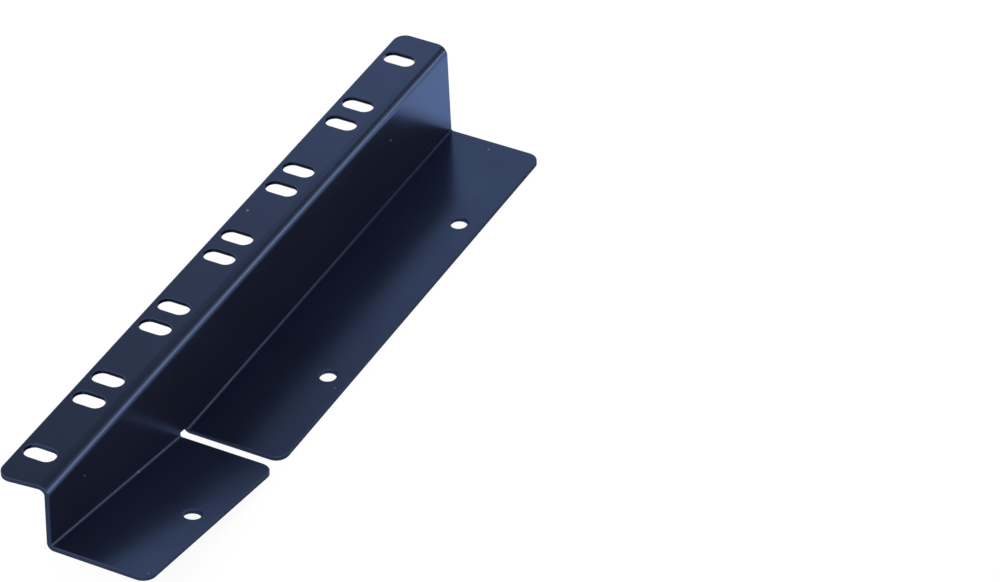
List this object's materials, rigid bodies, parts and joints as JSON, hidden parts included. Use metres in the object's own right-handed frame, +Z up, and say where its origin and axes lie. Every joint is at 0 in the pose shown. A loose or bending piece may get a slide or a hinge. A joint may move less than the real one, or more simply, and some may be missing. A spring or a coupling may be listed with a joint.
{
  "type": "rack mount ear bracket",
  "caption": "Folded sheet steel bracket: a slotted ear for a rack rail, a tapered upright web, and a foot with screw holes whose end leaf rises, for carrying equipment.",
  "frame": {"origin": "on the underside of the long leaf, in the plane of the web's inner face, at the middle of the rack hole pattern", "axes": "+Z up from the foot to the ear, +X from the web out along the foot, +Y along the bracket towards its square far end"},
  "size_m": [0.0598, 0.2863, 0.0418],
  "materials": {
    "powder_coat": "satin blue-black powder coat"
  },
  "bodies": {
    "root": {"rack_ear_bracket": "powder_coat"}
  },
  "joints": []
}
